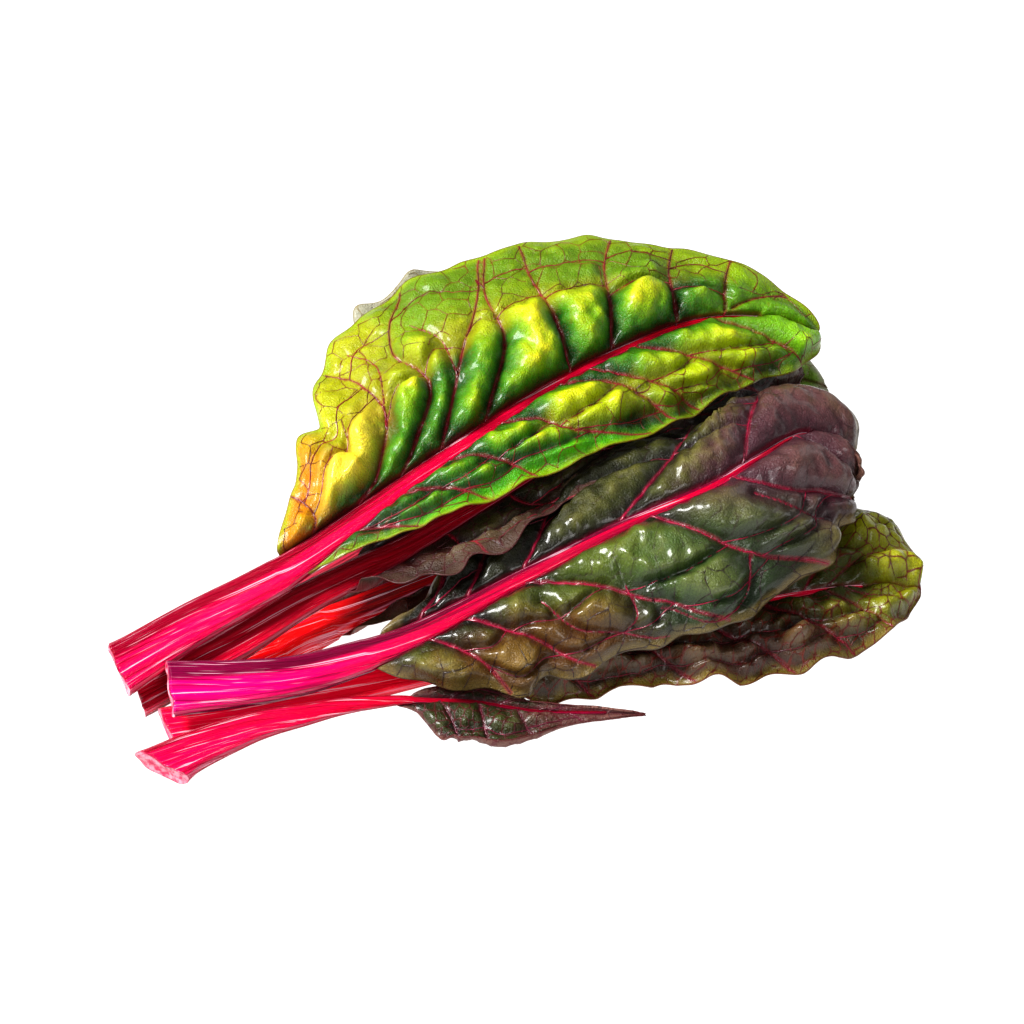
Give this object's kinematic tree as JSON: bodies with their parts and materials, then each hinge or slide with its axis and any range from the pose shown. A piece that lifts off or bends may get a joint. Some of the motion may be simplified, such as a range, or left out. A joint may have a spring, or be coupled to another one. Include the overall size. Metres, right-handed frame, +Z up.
{
  "type": "swiss chard bunch",
  "caption": "Loose bunch of red-stalked leaf chard lying on its side: crinkled green and bronze-green leaf blades fanned out on thick channelled stalks with cut ends.",
  "frame": {"origin": "middle of the bunch's bounding box, on the surface it lies on", "axes": "+X along the bunch from the cut stalk ends to the leaf tips, +Y to the far side of the pile, +Z up from the surface"},
  "size_m": [0.4032, 0.2568, 0.1124],
  "materials": {
    "stalk": "fleshy crimson stalk with a satin skin",
    "green_blade": "waxy yellow-green leaf",
    "bronze_blade": "waxy bronze-green leaf",
    "olive_blade": "waxy olive-green leaf",
    "pale_blade": "matt pale green leaf"
  },
  "bodies": {
    "root": {"back_leaf_blade": "pale_blade", "back_leaf_stalk": "stalk", "dark_leaf_blade": "bronze_blade", "dark_leaf_stalk": "stalk", "hidden_leaf_blade": "olive_blade", "hidden_leaf_stalk": "stalk", "right_leaf_blade": "olive_blade", "right_leaf_stalk": "stalk", "second_leaf_blade": "bronze_blade", "second_leaf_stalk": "stalk", "small_leaf_blade": "bronze_blade", "small_leaf_stalk": "stalk", "top_leaf_blade": "green_blade", "top_leaf_stalk": "stalk"}
  },
  "joints": []
}
